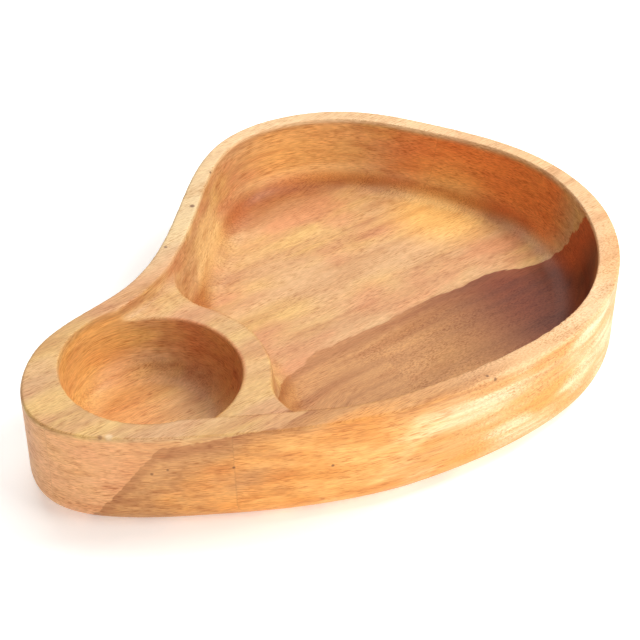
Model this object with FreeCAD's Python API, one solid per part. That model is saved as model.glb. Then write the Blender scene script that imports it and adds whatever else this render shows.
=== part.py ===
import FreeCAD, Part
import math
import os

from FreeCAD import Vector

# Chip and dip server: a carved hardwood dish with one large well for chips
# and one small round well for dip, parted by a low divider.  The blank is
# edge-glued from four staves whose grain runs along the dish, and the wells
# are carved after gluing, so each stave keeps its share of the walls.
#
# Frame: millimetres, +Z up.  Origin on the underside, at the middle of the
# outline's box.  +X runs along the dish from the dip well to the chip well.

# ---- overall sizes -------------------------------------------------------
length = 356.0              # along X, over the outline
width = 265.0               # along Y, over the outline
height = 62.0               # underside to rim

# ---- wall, rim and edges -------------------------------------------------
rim_width = 11.0            # nominal width of the rim band
wall_draft = 1.0            # degrees, outer wall leans in towards the base
base_round = 15.0           # radius between outer wall and underside
rim_edge_round = 0.9        # eased outer edge of the rim

# ---- chip well -----------------------------------------------------------
chip_depth = 40.0           # rim to floor
chip_draft = 9.0            # degrees, wall leans in towards the floor
chip_floor_round = 17.0     # radius between wall and floor
chip_corner_round = 30.0    # corners of the well, at the ends of the divider

# ---- dip well ------------------------------------------------------------
dip_radius = 47.5           # at the rim
dip_depth = 39.0            # rim to floor
dip_draft = 8.0             # degrees
dip_floor_round = 18.0      # radius between wall and floor
dip_rim_land = 23.5         # tip of the outline to the edge of the dip well
dip_offset_y = -16.5        # centre of the dip well from the middle of the box

# ---- divider between the wells -------------------------------------------
divider_width = 12.5        # thickness between the two wells, at the rim
divider_drop = 8.5          # top of the divider below the rim
divider_step_round = 4.0    # hollow where the divider meets the rim band
divider_inset = 0.6         # its step stands this far inside the rim band
divider_start = 20.0        # lowered land starts this far towards the tip
divider_heading = -13.0     # degrees, its direction from +X

# ---- staves --------------------------------------------------------------
front_glue_line = -87.0     # Y of the glue line nearest the front wall
middle_glue_line = -26.0    # Y of the glue line that runs under both wells
rear_glue_line = 58.0       # Y of the glue line nearest the rear wall

# Outline stations, counter-clockwise from above, starting on the front wall:
# share of the length, share of the width, share of the nominal rim width.
STATIONS = (
    (-0.0516, -0.4729, 1.03),
    (0.1363, -0.4999, 1.08),
    (0.3030, -0.4601, 1.05),
    (0.4766, -0.2227, 1.08),
    (0.4954, 0.0126, 0.80),
    (0.4135, 0.2706, 0.88),
    (0.3288, 0.4177, 0.90),
    (0.1227, 0.4944, 0.75),
    (-0.0221, 0.3767, 0.92),
    (-0.2388, 0.1682, 0.97),
    (-0.4165, 0.1077, 1.25),
    (-0.4998, -0.0518, 1.40),
    (-0.3308, -0.3027, 1.26),
    (-0.2232, -0.3858, 1.20),
)

clear = 5.0                 # cutting shapes stand this far past the rim


def closed_curve(points):
    """Smooth closed curve through the points."""
    curve = Part.BSplineCurve()
    curve.interpolate(Points=points, PeriodicFlag=True)
    return curve


def outline_points(z):
    """Stations of the outer outline at the rim, laid at height z."""
    return [Vector(sx * length, sy * width, z) for sx, sy, _ in STATIONS]


def moved_in(distances, z):
    """Outline stations moved inwards, each by its own distance."""
    points = outline_points(z)
    curve = closed_curve(points)
    moved = []
    for point, distance in zip(points, distances):
        along = curve.tangent(curve.parameter(point))[0]
        inward = Vector(-along.y, along.x, 0.0)
        moved.append(point + inward * distance)
    return moved


def ring(distances, z):
    """Closed wire of the outline moved inwards, in a front and a rear half."""
    points = moved_in(distances, z)
    curve = closed_curve(points)
    middle = curve.parameter(points[len(points) // 2])
    front = curve.toShape(curve.FirstParameter, middle)
    rear = curve.toShape(middle, curve.LastParameter)
    return Part.Wire([front, rear])


def even(distance):
    """The same distance at every station."""
    return [distance] * len(STATIONS)


def rim_distances(extra):
    """Inner edge of the rim band, plus an extra distance inwards."""
    return [share * rim_width + extra for _, _, share in STATIONS]


def edges_at(shape, z):
    """Edges that lie wholly in the level z."""
    found = []
    for edge in shape.Edges:
        box = edge.BoundBox
        if abs(box.ZMin - z) < 0.01 and abs(box.ZMax - z) < 0.01:
            found.append(edge)
    return found


def dip_centre():
    """Middle of the dip well at z = 0."""
    return Vector(-0.5 * length + dip_rim_land + dip_radius, dip_offset_y, 0.0)


def make_blank():
    """Outer body: drafted wall, rounded foot, eased rim."""
    lean = height * math.tan(math.radians(wall_draft))
    body = Part.makeLoft([ring(even(lean), 0.0), ring(even(0.0), height)], True, True)
    body = body.makeFillet(base_round, edges_at(body, 0.0))
    return body.makeFillet(rim_edge_round, edges_at(body, height))


def make_rim_tool(inset):
    """Everything inside the rim band, from the chip floor up past the rim."""
    slope = math.tan(math.radians(chip_draft))
    low = ring(rim_distances(inset + chip_depth * slope), height - chip_depth)
    high = ring(rim_distances(inset - clear * slope), height + clear)
    return Part.makeLoft([low, high], True, True)


def ring_cone(radius, draft, depth, floor_round):
    """Round well about the Z axis: floor at z = 0, rim radius at z = depth."""
    slope = math.tan(math.radians(draft))
    foot = radius - depth * slope
    head = radius + clear * slope
    cone = Part.makeCone(foot, head, depth + clear)
    if floor_round > 0.0:
        cone = cone.makeFillet(floor_round, edges_at(cone, 0.0))
    return cone


def near_divider(edge):
    """Whether an edge's middle lies by the dip well's outer wall, in plan."""
    away = edge.BoundBox.Center - dip_centre()
    return math.hypot(away.x, away.y) < dip_radius + 2.0 * divider_width


def make_chip_tool():
    """Space of the chip well: inside the rim band, clear of the divider."""
    floor = height - chip_depth
    inside = make_rim_tool(0.0)
    core = ring_cone(dip_radius + divider_width, -chip_draft, chip_depth, 0.0)
    core.rotate(Vector(0, 0, 0), Vector(0, 0, 1), 180.0)
    core.translate(dip_centre() + Vector(0, 0, floor))
    pieces = inside.cut(core).Solids
    tool = max(pieces, key=lambda solid: solid.Volume)
    upright = [edge for edge in tool.Edges if edge.BoundBox.ZLength > chip_depth]
    tool = tool.makeFillet(chip_corner_round, [edge for edge in upright if near_divider(edge)])
    return tool.makeFillet(chip_floor_round, edges_at(tool, floor))


def make_dip_tool():
    """Space of the dip well, up past the rim."""
    tool = ring_cone(dip_radius, dip_draft, dip_depth, dip_floor_round)
    tool.translate(dip_centre() + Vector(0, 0, height - dip_depth))
    return tool


def make_divider_tool():
    """Space over the lowered divider, inside the rim band."""
    inside = make_rim_tool(divider_inset)
    reach = divider_start + dip_radius + divider_width + chip_corner_round
    floor = height - divider_drop
    block = Part.makeBox(reach, 2.0 * width, height, Vector(-divider_start, -width, floor))
    block.rotate(Vector(0, 0, 0), Vector(0, 0, 1), divider_heading)
    block.translate(dip_centre())
    tool = inside.common(block)
    sides = [edge for edge in edges_at(tool, floor) if edge.Curve.TypeId != "Part::GeomLine"]
    return tool.makeFillet(divider_step_round, sides)


def make_dish():
    """The whole carved dish, before it is told apart into its staves."""
    dish = make_blank().cut(make_divider_tool())
    dish = dish.cut(make_chip_tool())
    return dish.cut(make_dip_tool()).removeSplitter()


def make_stave(dish, front, rear):
    """Part of the dish between two planes square to Y."""
    slab = Part.makeBox(2.0 * length, rear - front, 2.0 * height, Vector(-length, front, -clear))
    return dish.common(slab)


def build():
    """Every stave by name, from the front wall to the rear wall."""
    dish = make_dish()
    return {
        "front_stave": make_stave(dish, -width, front_glue_line),
        "inner_front_stave": make_stave(dish, front_glue_line, middle_glue_line),
        "inner_rear_stave": make_stave(dish, middle_glue_line, rear_glue_line),
        "rear_stave": make_stave(dish, rear_glue_line, width),
    }


os.makedirs("parts", exist_ok=True)
for name, shape in build().items():
    print(name, shape.isValid(), len(shape.Solids), round(shape.Volume))
    shape.exportStep("parts/" + name + ".step")
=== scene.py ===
import math

import bmesh
import bpy
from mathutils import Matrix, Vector


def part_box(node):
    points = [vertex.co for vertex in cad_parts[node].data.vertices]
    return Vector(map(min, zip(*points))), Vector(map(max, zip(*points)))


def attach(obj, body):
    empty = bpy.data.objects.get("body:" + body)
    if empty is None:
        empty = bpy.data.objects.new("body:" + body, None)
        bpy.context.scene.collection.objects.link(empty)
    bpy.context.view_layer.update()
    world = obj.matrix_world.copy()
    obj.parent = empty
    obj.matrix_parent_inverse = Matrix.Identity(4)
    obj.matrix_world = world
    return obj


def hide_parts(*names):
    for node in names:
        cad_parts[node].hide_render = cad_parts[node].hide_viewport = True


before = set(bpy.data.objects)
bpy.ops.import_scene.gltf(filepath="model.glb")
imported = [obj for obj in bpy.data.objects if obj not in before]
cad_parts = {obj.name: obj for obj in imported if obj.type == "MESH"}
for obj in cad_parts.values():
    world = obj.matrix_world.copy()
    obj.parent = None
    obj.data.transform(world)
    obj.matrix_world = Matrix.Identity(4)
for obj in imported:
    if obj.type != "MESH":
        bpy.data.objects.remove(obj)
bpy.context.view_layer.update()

MM = 0.001

STAVES = ("front_stave", "inner_front_stave", "inner_rear_stave", "rear_stave")

# ---- carved surface ----------------------------------------------------------
SKIN_STEP = 1.0 * MM        # grid that the carved surface is rebuilt on
EASING = 3                  # smoothing passes that ease the sharp edges
HAND_WAVES = 0.25 * MM      # unevenness that sanding by hand leaves
HAND_WAVE_LENGTH = 35.0 * MM
WELD = 0.005 * MM           # points nearer than this are one point
IN_PLANE = 0.02 * MM        # a face nearer than this to a glue plane lies in it
ON_CUT = 0.001 * MM         # a point nearer than this to a cut lies on it

# ---- camera ------------------------------------------------------------------
LOOK_AT = Vector((-18.15, -41.07, 62.0)) * MM
VIEW_AZIMUTH = -37.0        # degrees
VIEW_ELEVATION = 38.5       # degrees
VIEW_DISTANCE = 1044.0 * MM
LENS = 112.5
SENSOR = 36.0

# ---- studio: place and size in metres, power in watts ------------------------
SOFT_BOXES = (
    ("key", (1.0, -0.4, 1.45), 0.6, 12.5),
    ("back", (0.5, 0.9, 1.6), 1.6, 18.5),
    ("side", (0.6, -1.2, 0.85), 0.9, 9.5),
    ("fill", (-0.95, -1.28, 0.55), 1.2, 9.2),
)
ROOM_LIGHT = 0.28           # even light from all round
PAPER_GLOW = 0.27           # keeps the paper near white where little light falls
FLOOR_SIZE = 8.0            # metres
EXPOSURE = 0.08
GAMMA = 0.8

# ---- growth of the wood, in millimetres in the dish's own frame ---------------
# The grain runs along X.  A brown heart lies in the front half: its rear edge
# is sharp, and its front edge fades into golden wood.
RIM_LEVEL = 62.0
EDGE_LEVEL = -38.0          # level below the rim where the sharp edge is laid out
EDGE_Y = -25.0              # where the sharp edge runs at that level
TIP_X = -137.0              # from here to the tip the edge turns forward
NECK_X = -85.0              # here it leans most
END_X = 156.0               # here it reaches the far end's wall
EDGE_LEAN_TIP = 1.0         # Y that the edge moves forward per mm of height, at the tip
EDGE_LEAN_NECK = 1.6        # the same beside the dip well
EDGE_LEAN_END = 0.5         # the same at the far end
EDGE_TEETH = 4.5            # how far the teeth of the sharp edge reach each way
GOLDEN_SLOPE = (-0.26, -1.0, -0.40)  # the heart fades out forwards, downwards and towards the tip
GOLDEN_LEVEL = 100.4        # where it fades out, measured along that slope
GOLDEN_WANDER = 14.0        # how far the soft edge strays each way
CROTCH_X = 8.0              # where a branch left the trunk, on the chip well's floor
CROTCH_Y = -43.0
FAN_LENGTH = 48.0           # the grain fans out from there towards the dip well
FAN_START = 12.0            # the fan begins this far beyond the crotch
FAN_MOST = 1.7              # most that the grain lines are squeezed together

# ---- the dish's own shapes that the colour follows ----------------------------
GLUE_LINES = (-87.0, -26.0, 58.0)
STAVE_STEP = (211.0, 37.0, 53.0)    # the figure moves this far from stave to stave
CHIP_MIDDLE = (55.0, -5.0, 0.0)     # upright oval along the chip well's edge
CHIP_REACH = (100.0, 116.0)
DISH_MIDDLE = (35.0, -10.0, 0.0)    # upright oval just inside the front outer wall
DISH_REACH = (141.0, 112.0)
DIP_MIDDLE = (-107.0, -16.5, 0.0)
DIP_EDGE = (49.0, 47.0)             # just outside and just inside the dip well's edge

# ---- figure: millimetres along the grain, across it and through it ------------
CLOUDS = (75.0, 30.0, 16.0)
GLOWS = (60.0, 30.0, 22.0)
BANDS = (110.0, 9.0, 5.0)
SMEARS = (90.0, 14.0, 3.5)
TEETH = (22.0, 6.0, 6.0)
WANDERS = (60.0, 18.0, 18.0)
CROWDS = (30.0, 9.0, 9.0)           # areas where the vessels stand closer
# Real vessels are 0.1 to 0.3 mm wide, too fine to show, so they are drawn at about 0.5 mm.
FLOOR_VESSELS = (5.0, 0.5, 0.5)
WALL_VESSELS = (6.5, 3.0, 0.48)
VESSEL_DOTS = (1.6, 0.6, 0.6)
VESSEL_DEPTH = 0.15                 # how far the open grain lies below the surface

# Small knots and specks: middle and radius in mm, tint, share of the tint.
MARKS = (
    ((-155.0, -52.0, 62.0), 2.8, "ead2ac", 0.65),
    ((-158.5, -49.5, 61.5), 1.6, "7a4a30", 0.55),
    ((-13.5, 84.5, 62.0), 2.0, "6b3a22", 0.75),
    ((-47.0, 61.0, 62.0), 1.4, "6b3a22", 0.70),
    ((14.0, 106.0, 62.0), 1.3, "6b3a22", 0.70),
    ((-62.0, -110.0, 34.0), 1.2, "5e3520", 0.70),
    ((-106.0, -87.0, 40.0), 1.1, "5e3520", 0.65),
    ((-133.5, -69.5, 41.0), 1.0, "5e3520", 0.60),
    ((-140.0, -65.0, 38.5), 1.2, "5e3520", 0.60),
    ((22.0, -128.0, 62.0), 1.2, "5e3520", 0.65),
    ((24.5, -131.0, 60.5), 1.5, "5e3520", 0.65),
)

SOFT = {"interpolation_type": "SMOOTHSTEP"}
RGBA = {"data_type": "RGBA"}
DEEPEN = {"data_type": "RGBA", "blend_type": "MULTIPLY"}


def srgb(hex_colour):
    """An sRGB hex colour as linear RGBA."""
    parts = [int(hex_colour[i:i + 2], 16) / 255.0 for i in (0, 2, 4)]
    linear = [c / 12.92 if c <= 0.04045 else ((c + 0.055) / 1.055) ** 2.4 for c in parts]
    return (*linear, 1.0)


def link_object(name, mesh):
    """A new object in the scene, at the origin."""
    piece = bpy.data.objects.new(name, mesh)
    bpy.context.scene.collection.objects.link(piece)
    return piece


def stave_span(name):
    """Front and rear glue faces of a stave, as its Y range."""
    low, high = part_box(name)
    return low.y, high.y


def on_glue_face(face, levels):
    """Whether a face lies in one of the glue planes between the staves."""
    middle = face.calc_center_median()
    flat = abs(face.normal.y) > 0.999
    return flat and any(abs(middle.y - level) < IN_PLANE for level in levels)


def glued_blank():
    """All the staves as one closed skin, without the glue faces between them."""
    whole = bmesh.new()
    for name in STAVES:
        whole.from_mesh(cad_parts[name].data)
    bmesh.ops.remove_doubles(whole, verts=whole.verts, dist=WELD)
    levels = [stave_span(name)[0] for name in STAVES[1:]]
    inner = [face for face in whole.faces if on_glue_face(face, levels)]
    bmesh.ops.delete(whole, geom=inner, context="FACES")
    mesh = bpy.data.meshes.new("blank")
    whole.to_mesh(mesh)
    whole.free()
    return mesh


def sanded(mesh):
    """The skin on an even grid, with its sharp edges eased and slight waves from hand sanding."""
    blank = link_object("blank", mesh)
    grid = blank.modifiers.new("grid", "REMESH")
    grid.mode = "VOXEL"
    grid.voxel_size = SKIN_STEP
    grid.adaptivity = 0.0
    ease = blank.modifiers.new("ease", "SMOOTH")
    ease.factor = 0.5
    ease.iterations = EASING
    texture = bpy.data.textures.new("hand_waves", "CLOUDS")
    texture.noise_scale = HAND_WAVE_LENGTH
    texture.noise_depth = 1
    waves = blank.modifiers.new("waves", "DISPLACE")
    waves.texture = texture
    waves.texture_coords = "LOCAL"
    waves.strength = HAND_WAVES
    waves.mid_level = 1.0
    seen = blank.evaluated_get(bpy.context.evaluated_depsgraph_get())
    result = bpy.data.meshes.new_from_object(seen)
    bpy.data.objects.remove(blank)
    return result


def trim(body, level, keep_rear):
    """Cuts the body at a glue plane, and closes it with a flat glue face."""
    normal = Vector((0.0, 1.0, 0.0))
    geometry = body.verts[:] + body.edges[:] + body.faces[:]
    cut = bmesh.ops.bisect_plane(
        body, geom=geometry, dist=ON_CUT, plane_co=(0.0, level, 0.0), plane_no=normal,
        clear_inner=keep_rear, clear_outer=not keep_rear)
    rim = [item for item in cut["geom_cut"] if isinstance(item, bmesh.types.BMEdge)]
    faces = bmesh.ops.edgeloop_fill(body, edges=rim)["faces"]
    faces = bmesh.ops.triangulate(body, faces=faces)["faces"]
    for face in faces:
        face.smooth = False
        for edge in face.edges:
            edge.smooth = False


def make_stave(name, skin, front, rear):
    """One stave's share of the carved skin, closed at its glue faces."""
    body = bmesh.new()
    body.from_mesh(skin)
    for face in body.faces:
        face.smooth = True
    if front is not None:
        trim(body, front, True)
    if rear is not None:
        trim(body, rear, False)
    bmesh.ops.recalc_face_normals(body, faces=body.faces)
    mesh = bpy.data.meshes.new(name)
    body.to_mesh(mesh)
    body.free()
    piece = link_object(name, mesh)
    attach(piece, "root")
    return piece


def make_staves():
    """The four carved staves, each in place of its CAD node."""
    skin = sanded(glued_blank())
    made = []
    for index, node in enumerate(STAVES):
        front, rear = stave_span(node)
        front = None if index == 0 else front
        rear = None if index == len(STAVES) - 1 else rear
        piece = make_stave("carved_" + node, skin, front, rear)
        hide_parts(node)
        made.append(piece)
    return made


def add(tree, kind, inputs=None, **settings):
    """Adds a node with its settings; an input takes a value, or a node or socket to link."""
    node = tree.nodes.new(kind)
    for key, value in settings.items():
        setattr(node, key, value)
    for key, value in (inputs or {}).items():
        if isinstance(value, bpy.types.Node):
            value = next(socket for socket in value.outputs if socket.enabled)
        if isinstance(value, bpy.types.NodeSocket):
            tree.links.new(value, node.inputs[key])
        else:
            node.inputs[key].default_value = value
    return node


def stretched_noise(tree, place, size, detail, seed):
    """Noise in the wood, its features so many mm long, wide and deep."""
    start = (seed, 0.7 * seed, 0.3 * seed)
    scale = tuple(1.0 / extent for extent in size)
    laid = add(tree, "ShaderNodeMapping", {"Vector": place, "Location": start, "Scale": scale})
    look = {"Vector": laid, "Detail": detail, "Scale": 1.0, "Roughness": 0.55}
    return add(tree, "ShaderNodeTexNoise", look)


def heart_edge(tree, place, x, y, depth):
    """Signed depth into the brown heart from its sharp rear edge, in mm."""
    to_neck = {0: x, 1: TIP_X, 2: NECK_X, 3: EDGE_LEAN_TIP, 4: EDGE_LEAN_NECK}
    to_end = {0: x, 1: NECK_X, 2: END_X, 3: EDGE_LEAN_NECK, 4: EDGE_LEAN_END}
    near = add(tree, "ShaderNodeMapRange", to_neck)
    far = add(tree, "ShaderNodeMapRange", to_end)
    lean = add(tree, "ShaderNodeMath", {0: near, 1: far}, operation="MINIMUM")
    rise = add(tree, "ShaderNodeMath", {0: depth, 1: EDGE_LEVEL}, operation="SUBTRACT")
    reach = add(tree, "ShaderNodeMath", {0: lean, 1: rise, 2: -EDGE_Y}, operation="MULTIPLY_ADD")
    by_dip = add(tree, "ShaderNodeMapRange", {0: x, 1: 0.0, 2: -60.0, 3: 0.0, 4: 12.0}, **SOFT)
    far_end = add(tree, "ShaderNodeMapRange", {0: x, 1: 108.0, 2: 150.0, 3: 0.0, 4: 11.0}, **SOFT)
    tip = add(tree, "ShaderNodeMapRange", {0: x, 1: TIP_X, 2: TIP_X - 40.0, 3: 0.0, 4: 36.0})
    teeth = stretched_noise(tree, place, TEETH, 2.0, 3.0)
    teeth = add(tree, "ShaderNodeMapRange", {0: teeth, 3: -EDGE_TEETH, 4: EDGE_TEETH})
    for part in (by_dip, far_end, tip, teeth, y):
        reach = add(tree, "ShaderNodeMath", {0: reach, 1: part}, operation="ADD")
    return add(tree, "ShaderNodeMath", {0: reach, 1: -1.0}, operation="MULTIPLY")


def golden_edge(tree, place):
    """Signed depth into the golden front wood from the soft edge of the heart, in mm."""
    wander = stretched_noise(tree, place, WANDERS, 2.0, 11.0)
    wander = add(tree, "ShaderNodeMapRange", {0: wander, 3: -GOLDEN_WANDER, 4: GOLDEN_WANDER})
    slope = add(tree, "ShaderNodeVectorMath", {0: place, 1: GOLDEN_SLOPE}, operation="DOT_PRODUCT")
    level = add(tree, "ShaderNodeMath", {0: slope, 1: wander}, operation="ADD")
    return add(tree, "ShaderNodeMath", {0: level, 1: GOLDEN_LEVEL}, operation="SUBTRACT")


def ring_share(tree, place, middle, reach, low, high):
    """Share that grows outwards across an upright oval ring about a middle."""
    away = add(tree, "ShaderNodeVectorMath", {0: place, 1: middle}, operation="SUBTRACT")
    squash = (1.0 / reach[0], 1.0 / reach[1], 0.0)
    away = add(tree, "ShaderNodeVectorMath", {0: away, 1: squash}, operation="MULTIPLY")
    out = add(tree, "ShaderNodeVectorMath", {0: away}, operation="LENGTH")
    return add(tree, "ShaderNodeMapRange", {0: out, 1: low, 2: high}, **SOFT)


def by_stave(tree, place, y):
    """The place moved a long way from stave to stave, so that no grain line crosses a glue line."""
    count = 0.0
    for line in GLUE_LINES:
        past = add(tree, "ShaderNodeMath", {0: y, 1: line}, operation="GREATER_THAN")
        count = add(tree, "ShaderNodeMath", {0: past, 1: count}, operation="ADD")
    step = add(tree, "ShaderNodeVectorMath", {0: STAVE_STEP, "Scale": count}, operation="SCALE")
    return add(tree, "ShaderNodeVectorMath", {0: place, 1: step}, operation="ADD")


def fanned(tree, place, x, y, depth):
    """The place squeezed towards the crotch, so that the grain lines fan out from it."""
    ahead = add(tree, "ShaderNodeMath", {0: CROTCH_X + FAN_START, 1: x}, operation="SUBTRACT")
    squeeze = add(tree, "ShaderNodeMath", {0: FAN_LENGTH + FAN_START, 1: ahead}, operation="DIVIDE")
    squeeze = add(tree, "ShaderNodeClamp", {0: squeeze, 1: 1.0, 2: FAN_MOST})
    over = add(tree, "ShaderNodeMath", {0: squeeze, 1: 1.0}, operation="SUBTRACT")
    below = add(tree, "ShaderNodeMath", {0: y, 1: CROTCH_Y}, operation="SUBTRACT")
    below = add(tree, "ShaderNodeMath", {0: below, 1: 0.0}, operation="MINIMUM")
    low = add(tree, "ShaderNodeMapRange", {0: depth, 1: -18.0, 2: -34.0}, **SOFT)
    over = add(tree, "ShaderNodeMath", {0: over, 1: low}, operation="MULTIPLY")
    within = add(tree, "ShaderNodeMapRange", {0: y, 1: -117.0, 2: -106.0}, **SOFT)
    over = add(tree, "ShaderNodeMath", {0: over, 1: within}, operation="MULTIPLY")
    moved = add(tree, "ShaderNodeMath", {0: below, 1: over}, operation="MULTIPLY")
    shift = add(tree, "ShaderNodeCombineXYZ", {"Y": moved})
    return add(tree, "ShaderNodeVectorMath", {0: place, 1: shift}, operation="ADD")


def sapwood(tree, clouds, glow, band):
    """Colour of the pale wood behind the heart."""
    colour = add(tree, "ShaderNodeMix", {0: clouds, 6: srgb("d4af83"), 7: srgb("d9b67a")}, **RGBA)
    colour = add(tree, "ShaderNodeMix", {0: glow, 6: colour, 7: srgb("d19d73")}, **RGBA)
    return add(tree, "ShaderNodeMix", {0: band, 6: colour, 7: srgb("bf8f65")}, **RGBA)


def heartwood(tree, clouds, band, x, depth_in):
    """Colour of the brown heart: lighter by the dip well, darkest at the far end."""
    light = add(tree, "ShaderNodeMix", {0: clouds, 6: srgb("cb9b68"), 7: srgb("c4945e")}, **RGBA)
    light = add(tree, "ShaderNodeMix", {0: band, 6: light, 7: srgb("b17f51")}, **RGBA)
    dark = add(tree, "ShaderNodeMix", {0: band, 6: srgb("864423"), 7: srgb("66331e")}, **RGBA)
    far = add(tree, "ShaderNodeMapRange", {0: x, 1: 35.0, 2: 118.0}, **SOFT)
    colour = add(tree, "ShaderNodeMix", {0: far, 6: light, 7: dark}, **RGBA)
    wall = add(tree, "ShaderNodeMapRange", {0: x, 1: 142.0, 2: 162.0}, **SOFT)
    colour = add(tree, "ShaderNodeMix", {0: wall, 6: colour, 7: srgb("d87037")}, **RGBA)
    rind = add(tree, "ShaderNodeMapRange", {0: depth_in, 1: 12.0, 2: 3.0, 4: 0.35}, **SOFT)
    return add(tree, "ShaderNodeMix", {0: rind, 6: colour, 7: srgb("9e6139")}, **RGBA)


def golden_wood(tree, clouds, glow, band, x):
    """Colour of the golden wood in front of the heart, paler towards the far end."""
    near = add(tree, "ShaderNodeMix", {0: clouds, 6: srgb("db9b53"), 7: srgb("f0bc78")}, **RGBA)
    far = add(tree, "ShaderNodeMix", {0: clouds, 6: srgb("dcb177"), 7: srgb("f0dbb9")}, **RGBA)
    along = add(tree, "ShaderNodeMapRange", {0: x, 1: -55.0, 2: 25.0}, **SOFT)
    colour = add(tree, "ShaderNodeMix", {0: along, 6: near, 7: far}, **RGBA)
    colour = add(tree, "ShaderNodeMix", {0: glow, 6: colour, 7: srgb("e1a359")}, **RGBA)
    return add(tree, "ShaderNodeMix", {0: band, 6: colour, 7: srgb("d2964e")}, **RGBA)


def patched(tree, colour, tint, most, *ramps):
    """The colour tinted where all the ramps (value, where it starts, where it is full) meet."""
    share = most
    for value, start, full in ramps:
        ramp = add(tree, "ShaderNodeMapRange", {0: value, 1: start, 2: full}, **SOFT)
        share = add(tree, "ShaderNodeMath", {0: ramp, 1: share}, operation="MULTIPLY")
    return add(tree, "ShaderNodeMix", {0: share, 6: colour, 7: srgb(tint)}, **RGBA)


def clouds_and_painted_light(tree, place, x, y, depth, colour):
    """The colour with larger pale and orange patches: some are this blank's own clouds, and some are
    painted light and painted shade in the wells and on the back rim.
    """
    in_chip = ring_share(tree, place, CHIP_MIDDLE, CHIP_REACH, 1.03, 0.97)
    # Painted light: paler colour on the chip well's left walls, which face the key light.
    colour = patched(tree, colour, "e9cb94", 0.7, (x, 32.0, 4.0), (y, -10.0, 15.0), (in_chip, 0.0, 1.0),
                     (depth, -9.0, -15.0), (depth, -39.0, -33.0))
    # Painted shade: deeper, redder orange on the shaded right walls of the chip well.
    colour = patched(tree, colour, "ef8f42", 0.8, (x, 100.0, 152.0), (y, -45.0, -15.0),
                     (depth, -1.5, -5.0), (depth, -39.5, -34.0))
    # Painted highlight: whiter back rim, standing in for the sheen of the light from behind.
    colour = patched(tree, colour, "e0c89f", 0.9, (y, 30.0, 75.0), (depth, -3.0, -1.0))
    colour = patched(tree, colour, "f0bd78", 0.7, (x, 40.0, 75.0), (x, 132.0, 98.0), (y, 60.0, 85.0),
                     (depth, -1.5, -5.0), (depth, -39.0, -33.0))
    colour = patched(tree, colour, "cf9560", 0.6, (x, -158.0, -147.0), (x, -116.0, -134.0),
                     (y, -35.0, -45.0), (depth, -1.0, -4.0))
    colour = patched(tree, colour, "e0aa7a", 0.7, (x, -135.0, -162.0), (depth, -1.0, -4.0))
    from_dip = add(tree, "ShaderNodeCombineXYZ", {"X": x, "Y": y})
    from_dip = add(tree, "ShaderNodeVectorMath", {0: from_dip, 1: DIP_MIDDLE}, operation="DISTANCE")
    # Painted light: paler colour on the dip well's left side and floor.
    colour = patched(tree, colour, "ecb56a", 0.5, (x, -78.0, -114.0), (from_dip, *DIP_EDGE),
                     (depth, -1.5, -5.0))
    # Painted shade, with some of the heart's red: darker red-brown on the dip well's right wall, which
    # faces away from the key light.
    colour = patched(tree, colour, "bf6833", 0.5, (x, -88.0, -60.0), (from_dip, *DIP_EDGE),
                     (depth, -1.5, -5.0))
    # Partly golden sapwood, partly painted light: a yellow pool on the chip well's floor where the
    # right wall's shadow falls.
    away = add(tree, "ShaderNodeVectorMath", {0: place, 1: (130.0, 38.0, 22.0)}, operation="DISTANCE")
    return patched(tree, colour, "f0c67e", 0.85, (away, 42.0, 10.0))


def marked(tree, place, colour):
    """The colour with the small knots and specks of this blank."""
    for middle, radius, tint, most in MARKS:
        away = add(tree, "ShaderNodeVectorMath", {0: place, 1: middle}, operation="DISTANCE")
        share = add(tree, "ShaderNodeMapRange", {0: away, 1: radius, 2: 0.3 * radius, 4: most}, **SOFT)
        colour = add(tree, "ShaderNodeMix", {0: share, 6: colour, 7: srgb(tint)}, **RGBA)
    return colour


def glue_lined(tree, y, colour):
    """The colour with the thin glue lines between the staves."""
    for line in GLUE_LINES:
        away = add(tree, "ShaderNodeMath", {0: y, 1: line}, operation="SUBTRACT")
        away = add(tree, "ShaderNodeMath", {0: away}, operation="ABSOLUTE")
        share = add(tree, "ShaderNodeMapRange", {0: away, 1: 0.3, 2: 0.05, 4: 0.11})
        colour = add(tree, "ShaderNodeMix", {0: share, 6: colour, 7: srgb("6e452a")}, **RGBA)
    return colour


def heart_share(tree, x, depth, into_heart):
    """Share of the brown heart, which leaves the rim pale at the far end."""
    share = add(tree, "ShaderNodeMapRange", {0: into_heart, 1: -0.4, 2: 0.9}, **SOFT)
    at_rim = add(tree, "ShaderNodeMapRange", {0: depth, 1: -3.0, 2: -1.0}, **SOFT)
    far_rim = add(tree, "ShaderNodeMapRange", {0: x, 1: 60.0, 2: 110.0}, **SOFT)
    pale = add(tree, "ShaderNodeMath", {0: at_rim, 1: far_rim}, operation="MULTIPLY")
    return add(tree, "ShaderNodeMath", {0: share, 1: pale}, operation="SUBTRACT", use_clamp=True)


def outer_wall_share(tree, place, x, y):
    """Share of the outer wall's golden wood, in front and past the neck."""
    share = ring_share(tree, place, DISH_MIDDLE, DISH_REACH, 0.97, 1.06)
    past_neck = add(tree, "ShaderNodeMapRange", {0: x, 1: 5.0, 2: 50.0}, **SOFT)
    in_front = add(tree, "ShaderNodeMapRange", {0: y, 1: 25.0, 2: -35.0}, **SOFT)
    for part in (past_neck, in_front):
        share = add(tree, "ShaderNodeMath", {0: share, 1: part}, operation="MULTIPLY")
    return share


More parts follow.
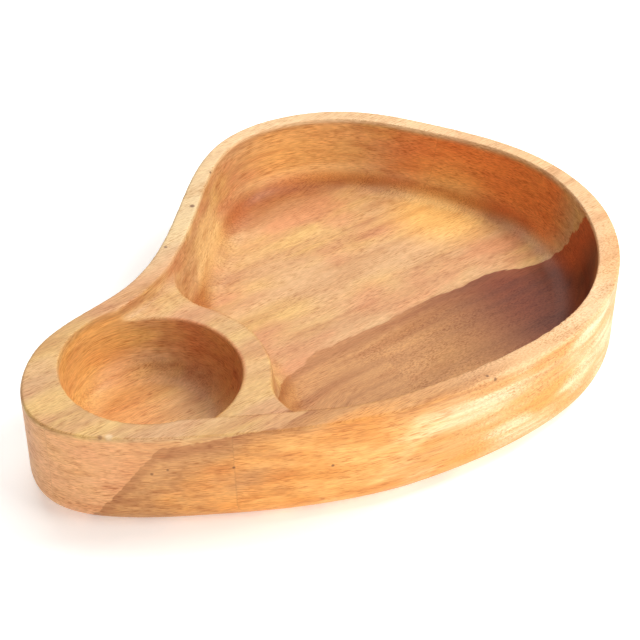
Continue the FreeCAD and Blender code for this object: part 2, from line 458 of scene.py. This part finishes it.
def grown_colour(tree, place, x, y, depth, grown, into_heart):
    """Sapwood, heart and golden wood, each in its own part of the blank, with painted light and painted
    shade patches laid on the sapwood.
    """
    clouds = stretched_noise(tree, place, CLOUDS, 2.0, 1.0)
    clouds = add(tree, "ShaderNodeMapRange", {0: clouds, 1: 0.35, 2: 0.65}, **SOFT)
    glow = stretched_noise(tree, place, GLOWS, 2.0, 21.0)
    glow = add(tree, "ShaderNodeMapRange", {0: glow, 1: 0.45, 2: 0.70}, **SOFT)
    band = stretched_noise(tree, grown, BANDS, 3.0, 5.0)
    band = add(tree, "ShaderNodeMapRange", {0: band, 1: 0.40, 2: 0.70, 4: 0.55}, **SOFT)
    in_heart = heart_share(tree, x, depth, into_heart)
    in_golden = golden_edge(tree, place)
    in_golden = add(tree, "ShaderNodeMapRange", {0: in_golden, 1: -9.0, 2: 9.0}, **SOFT)
    outside = outer_wall_share(tree, place, x, y)
    golden = golden_wood(tree, clouds, glow, band, x)
    heart = heartwood(tree, clouds, band, x, into_heart)
    # The sapwood takes painted light and painted shade patches in the wells and on the back rim.
    colour = clouds_and_painted_light(tree, place, x, y, depth, sapwood(tree, clouds, glow, band))
    colour = add(tree, "ShaderNodeMix", {0: in_heart, 6: colour, 7: heart}, **RGBA)
    colour = add(tree, "ShaderNodeMix", {0: in_golden, 6: colour, 7: golden}, **RGBA)
    colour = add(tree, "ShaderNodeMix", {0: outside, 6: colour, 7: golden}, **RGBA)
    return patched(tree, colour, "e6c39a", 0.7, (x, -20.0, 60.0), (depth, -3.0, -1.0))


def painted_foot_shade(tree, place, y, depth, colour):
    """The colour with painted shade: a darker band in the round where the chip well's walls meet its
    floor, towards the back.
    """
    foot = ring_share(tree, place, CHIP_MIDDLE, CHIP_REACH, 0.89, 0.99)
    within = ring_share(tree, place, CHIP_MIDDLE, CHIP_REACH, 1.16, 1.09)
    low = add(tree, "ShaderNodeMapRange", {0: depth, 1: -29.0, 2: -37.0, 4: 0.9}, **SOFT)
    behind = add(tree, "ShaderNodeMapRange", {0: y, 1: -30.0, 2: 20.0}, **SOFT)
    for part in (within, low, behind):
        foot = add(tree, "ShaderNodeMath", {0: foot, 1: part}, operation="MULTIPLY")
    # Painted shade: the round at the foot of the wall is darkened by multiplying its colour.
    deep = add(tree, "ShaderNodeMix", {0: 1.0, 6: colour, 7: srgb("dcb482")}, **DEEPEN)
    return add(tree, "ShaderNodeMix", {0: foot, 6: colour, 7: deep}, **RGBA)


def streaked(tree, grown, colour):
    """The colour with long dark streaks along the grain, and a paler gleam between them."""
    smear = stretched_noise(tree, grown, SMEARS, 3.0, 31.0)
    streak = add(tree, "ShaderNodeMapRange", {0: smear, 1: 0.50, 2: 0.70, 4: 0.36}, **SOFT)
    deep = add(tree, "ShaderNodeMix", {0: 1.0, 6: colour, 7: srgb("d9b48e")}, **DEEPEN)
    colour = add(tree, "ShaderNodeMix", {0: streak, 6: colour, 7: deep}, **RGBA)
    gleam = {0: smear, 1: 0.50, 2: 0.32, 3: 1.0, 4: 1.05}
    gleam = add(tree, "ShaderNodeMapRange", gleam, **SOFT)
    return add(tree, "ShaderNodeVectorMath", {0: colour, "Scale": gleam}, operation="SCALE")


def vessel_lines(tree, grown, x, into_heart):
    """Fine lines of the vessels along the grain, and their dots in the heart past the crotch."""
    normal = add(tree, "ShaderNodeNewGeometry").outputs["Normal"]
    up = add(tree, "ShaderNodeSeparateXYZ", {0: normal}).outputs["Z"]
    up = add(tree, "ShaderNodeMath", {0: up}, operation="ABSOLUTE")
    level = add(tree, "ShaderNodeMapRange", {0: up, 1: 0.40, 2: 0.75}, **SOFT)
    on_floor = stretched_noise(tree, grown, FLOOR_VESSELS, 3.0, 7.0)
    on_wall = stretched_noise(tree, grown, WALL_VESSELS, 2.0, 17.0)
    lines = add(tree, "ShaderNodeMix", {0: level, 2: on_wall, 3: on_floor})
    dots = stretched_noise(tree, grown, VESSEL_DOTS, 2.0, 9.0)
    inside = add(tree, "ShaderNodeMapRange", {0: into_heart, 1: 8.0, 2: 14.0}, **SOFT)
    past_crotch = {0: x, 1: CROTCH_X - 18.0, 2: CROTCH_X + FAN_START}
    past_crotch = add(tree, "ShaderNodeMapRange", past_crotch, **SOFT)
    dotted = add(tree, "ShaderNodeMath", {0: inside, 1: past_crotch}, operation="MULTIPLY")
    return add(tree, "ShaderNodeMix", {0: dotted, 2: lines, 3: dots})


def fibrous(tree, grown, vessels, colour):
    """The colour darker in the vessels, which stand closer in some areas, and paler between."""
    crowd = stretched_noise(tree, grown, CROWDS, 2.0, 13.0)
    crowd = {0: crowd, 1: 0.35, 2: 0.65, 3: 0.35, 4: 1.0}
    crowd = add(tree, "ShaderNodeMapRange", crowd, **SOFT)
    dark = add(tree, "ShaderNodeMapRange", {0: vessels, 1: 0.48, 2: 0.68}, **SOFT)
    dark = add(tree, "ShaderNodeMath", {0: dark, 1: crowd}, operation="MULTIPLY")
    deep = add(tree, "ShaderNodeMix", {0: 1.0, 6: colour, 7: srgb("e1cab1")}, **DEEPEN)
    colour = add(tree, "ShaderNodeMix", {0: dark, 6: colour, 7: deep}, **RGBA)
    gleam = {0: vessels, 1: 0.50, 2: 0.34, 3: 1.0, 4: 1.13}
    gleam = add(tree, "ShaderNodeMapRange", gleam, **SOFT)
    return add(tree, "ShaderNodeVectorMath", {0: colour, "Scale": gleam}, operation="SCALE")


def rubbed_with_oil(tree, vessels, colour):
    """The finish: a thin coat of oil over open grain, rougher and lower in the vessels."""
    shader = tree.nodes["Principled BSDF"]
    tree.links.new(colour.outputs[2], shader.inputs["Base Color"])
    rough = {0: vessels, 1: 0.3, 2: 0.7, 3: 0.46, 4: 0.60}
    rough = add(tree, "ShaderNodeMapRange", rough)
    tree.links.new(rough.outputs[0], shader.inputs["Roughness"])
    relief = {"Height": vessels, "Strength": 0.2, "Distance": -VESSEL_DEPTH * MM}
    relief = add(tree, "ShaderNodeBump", relief)
    tree.links.new(relief.outputs[0], shader.inputs["Normal"])
    shader.inputs["IOR"].default_value = 1.5
    shader.inputs["Specular IOR Level"].default_value = 0.4
    shader.inputs["Coat Weight"].default_value = 0.35
    shader.inputs["Coat Roughness"].default_value = 0.36


def make_acacia():
    """Acacia, carved, sanded by hand and rubbed with oil.

    To the eye it is satin: broad soft highlights in the rounds, warm colour
    that the oil deepens, and fine dark vessel lines that run along the grain.
    """
    material = bpy.data.materials.new("oiled_acacia")
    material.use_nodes = True
    tree = material.node_tree
    origin = add(tree, "ShaderNodeTexCoord").outputs["Object"]
    place = add(tree, "ShaderNodeVectorMath", {0: origin, "Scale": 1.0 / MM}, operation="SCALE")
    x, y, z = add(tree, "ShaderNodeSeparateXYZ", {0: place}).outputs
    depth = add(tree, "ShaderNodeMath", {0: z, 1: RIM_LEVEL}, operation="SUBTRACT")
    grown = by_stave(tree, fanned(tree, place, x, y, depth), y)
    into_heart = heart_edge(tree, place, x, y, depth)
    colour = grown_colour(tree, place, x, y, depth, grown, into_heart)
    # Painted shade at the foot of the chip well's back wall.
    colour = painted_foot_shade(tree, place, y, depth, colour)
    colour = streaked(tree, grown, colour)
    vessels = vessel_lines(tree, grown, x, into_heart)
    colour = fibrous(tree, grown, vessels, colour)
    colour = marked(tree, place, glue_lined(tree, y, colour))
    rubbed_with_oil(tree, vessels, colour)
    return material


def make_camera():
    """The camera, looking down at the front of the dish from the dip well's side."""
    camera = bpy.data.objects.new("camera", bpy.data.cameras.new("camera"))
    camera.data.lens = LENS
    camera.data.sensor_width = SENSOR
    camera.data.clip_end = 20.0
    azimuth = math.radians(VIEW_AZIMUTH)
    elevation = math.radians(VIEW_ELEVATION)
    towards = Vector((-math.sin(azimuth) * math.cos(elevation),
                      math.cos(azimuth) * math.cos(elevation),
                      -math.sin(elevation)))
    camera.location = LOOK_AT - towards * VIEW_DISTANCE
    camera.rotation_euler = towards.to_track_quat("-Z", "Y").to_euler()
    bpy.context.scene.collection.objects.link(camera)
    bpy.context.scene.camera = camera


def make_paper():
    """Matt white studio paper: an even pale ground that keeps the shadows soft."""
    paper = bpy.data.materials.new("white_paper")
    paper.use_nodes = True
    shader = paper.node_tree.nodes["Principled BSDF"]
    shader.inputs["Base Color"].default_value = srgb("f6f5f3")
    shader.inputs["Roughness"].default_value = 0.9
    shader.inputs["Emission Color"].default_value = srgb("ffffff")
    shader.inputs["Emission Strength"].default_value = PAPER_GLOW
    return paper


def make_floor():
    """The sheet of paper that the dish stands on."""
    bpy.ops.mesh.primitive_plane_add(size=FLOOR_SIZE)
    floor = bpy.context.object
    floor.name = "floor"
    floor.data.materials.append(make_paper())


def make_light(name, place, size, power):
    """A soft box at a place, aimed at the dish."""
    lamp = bpy.data.objects.new(name, bpy.data.lights.new(name, "AREA"))
    lamp.data.shape = "SQUARE"
    lamp.data.size = size
    lamp.data.energy = power
    lamp.location = place
    lamp.rotation_euler = (-Vector(place)).to_track_quat("-Z", "Y").to_euler()
    bpy.context.scene.collection.objects.link(lamp)


def make_studio():
    """Even light all round, the soft boxes, and how the picture is developed."""
    world = bpy.data.worlds.new("studio")
    bpy.context.scene.world = world
    world.use_nodes = True
    background = world.node_tree.nodes["Background"]
    background.inputs["Color"].default_value = srgb("ffffff")
    background.inputs["Strength"].default_value = ROOM_LIGHT
    for name, place, size, power in SOFT_BOXES:
        make_light(name, place, size, power)
    view = bpy.context.scene.view_settings
    view.view_transform = "Standard"
    view.exposure = EXPOSURE
    view.gamma = GAMMA


make_camera()
make_floor()
make_studio()
acacia = make_acacia()
for piece in make_staves():
    piece.data.materials.append(acacia)
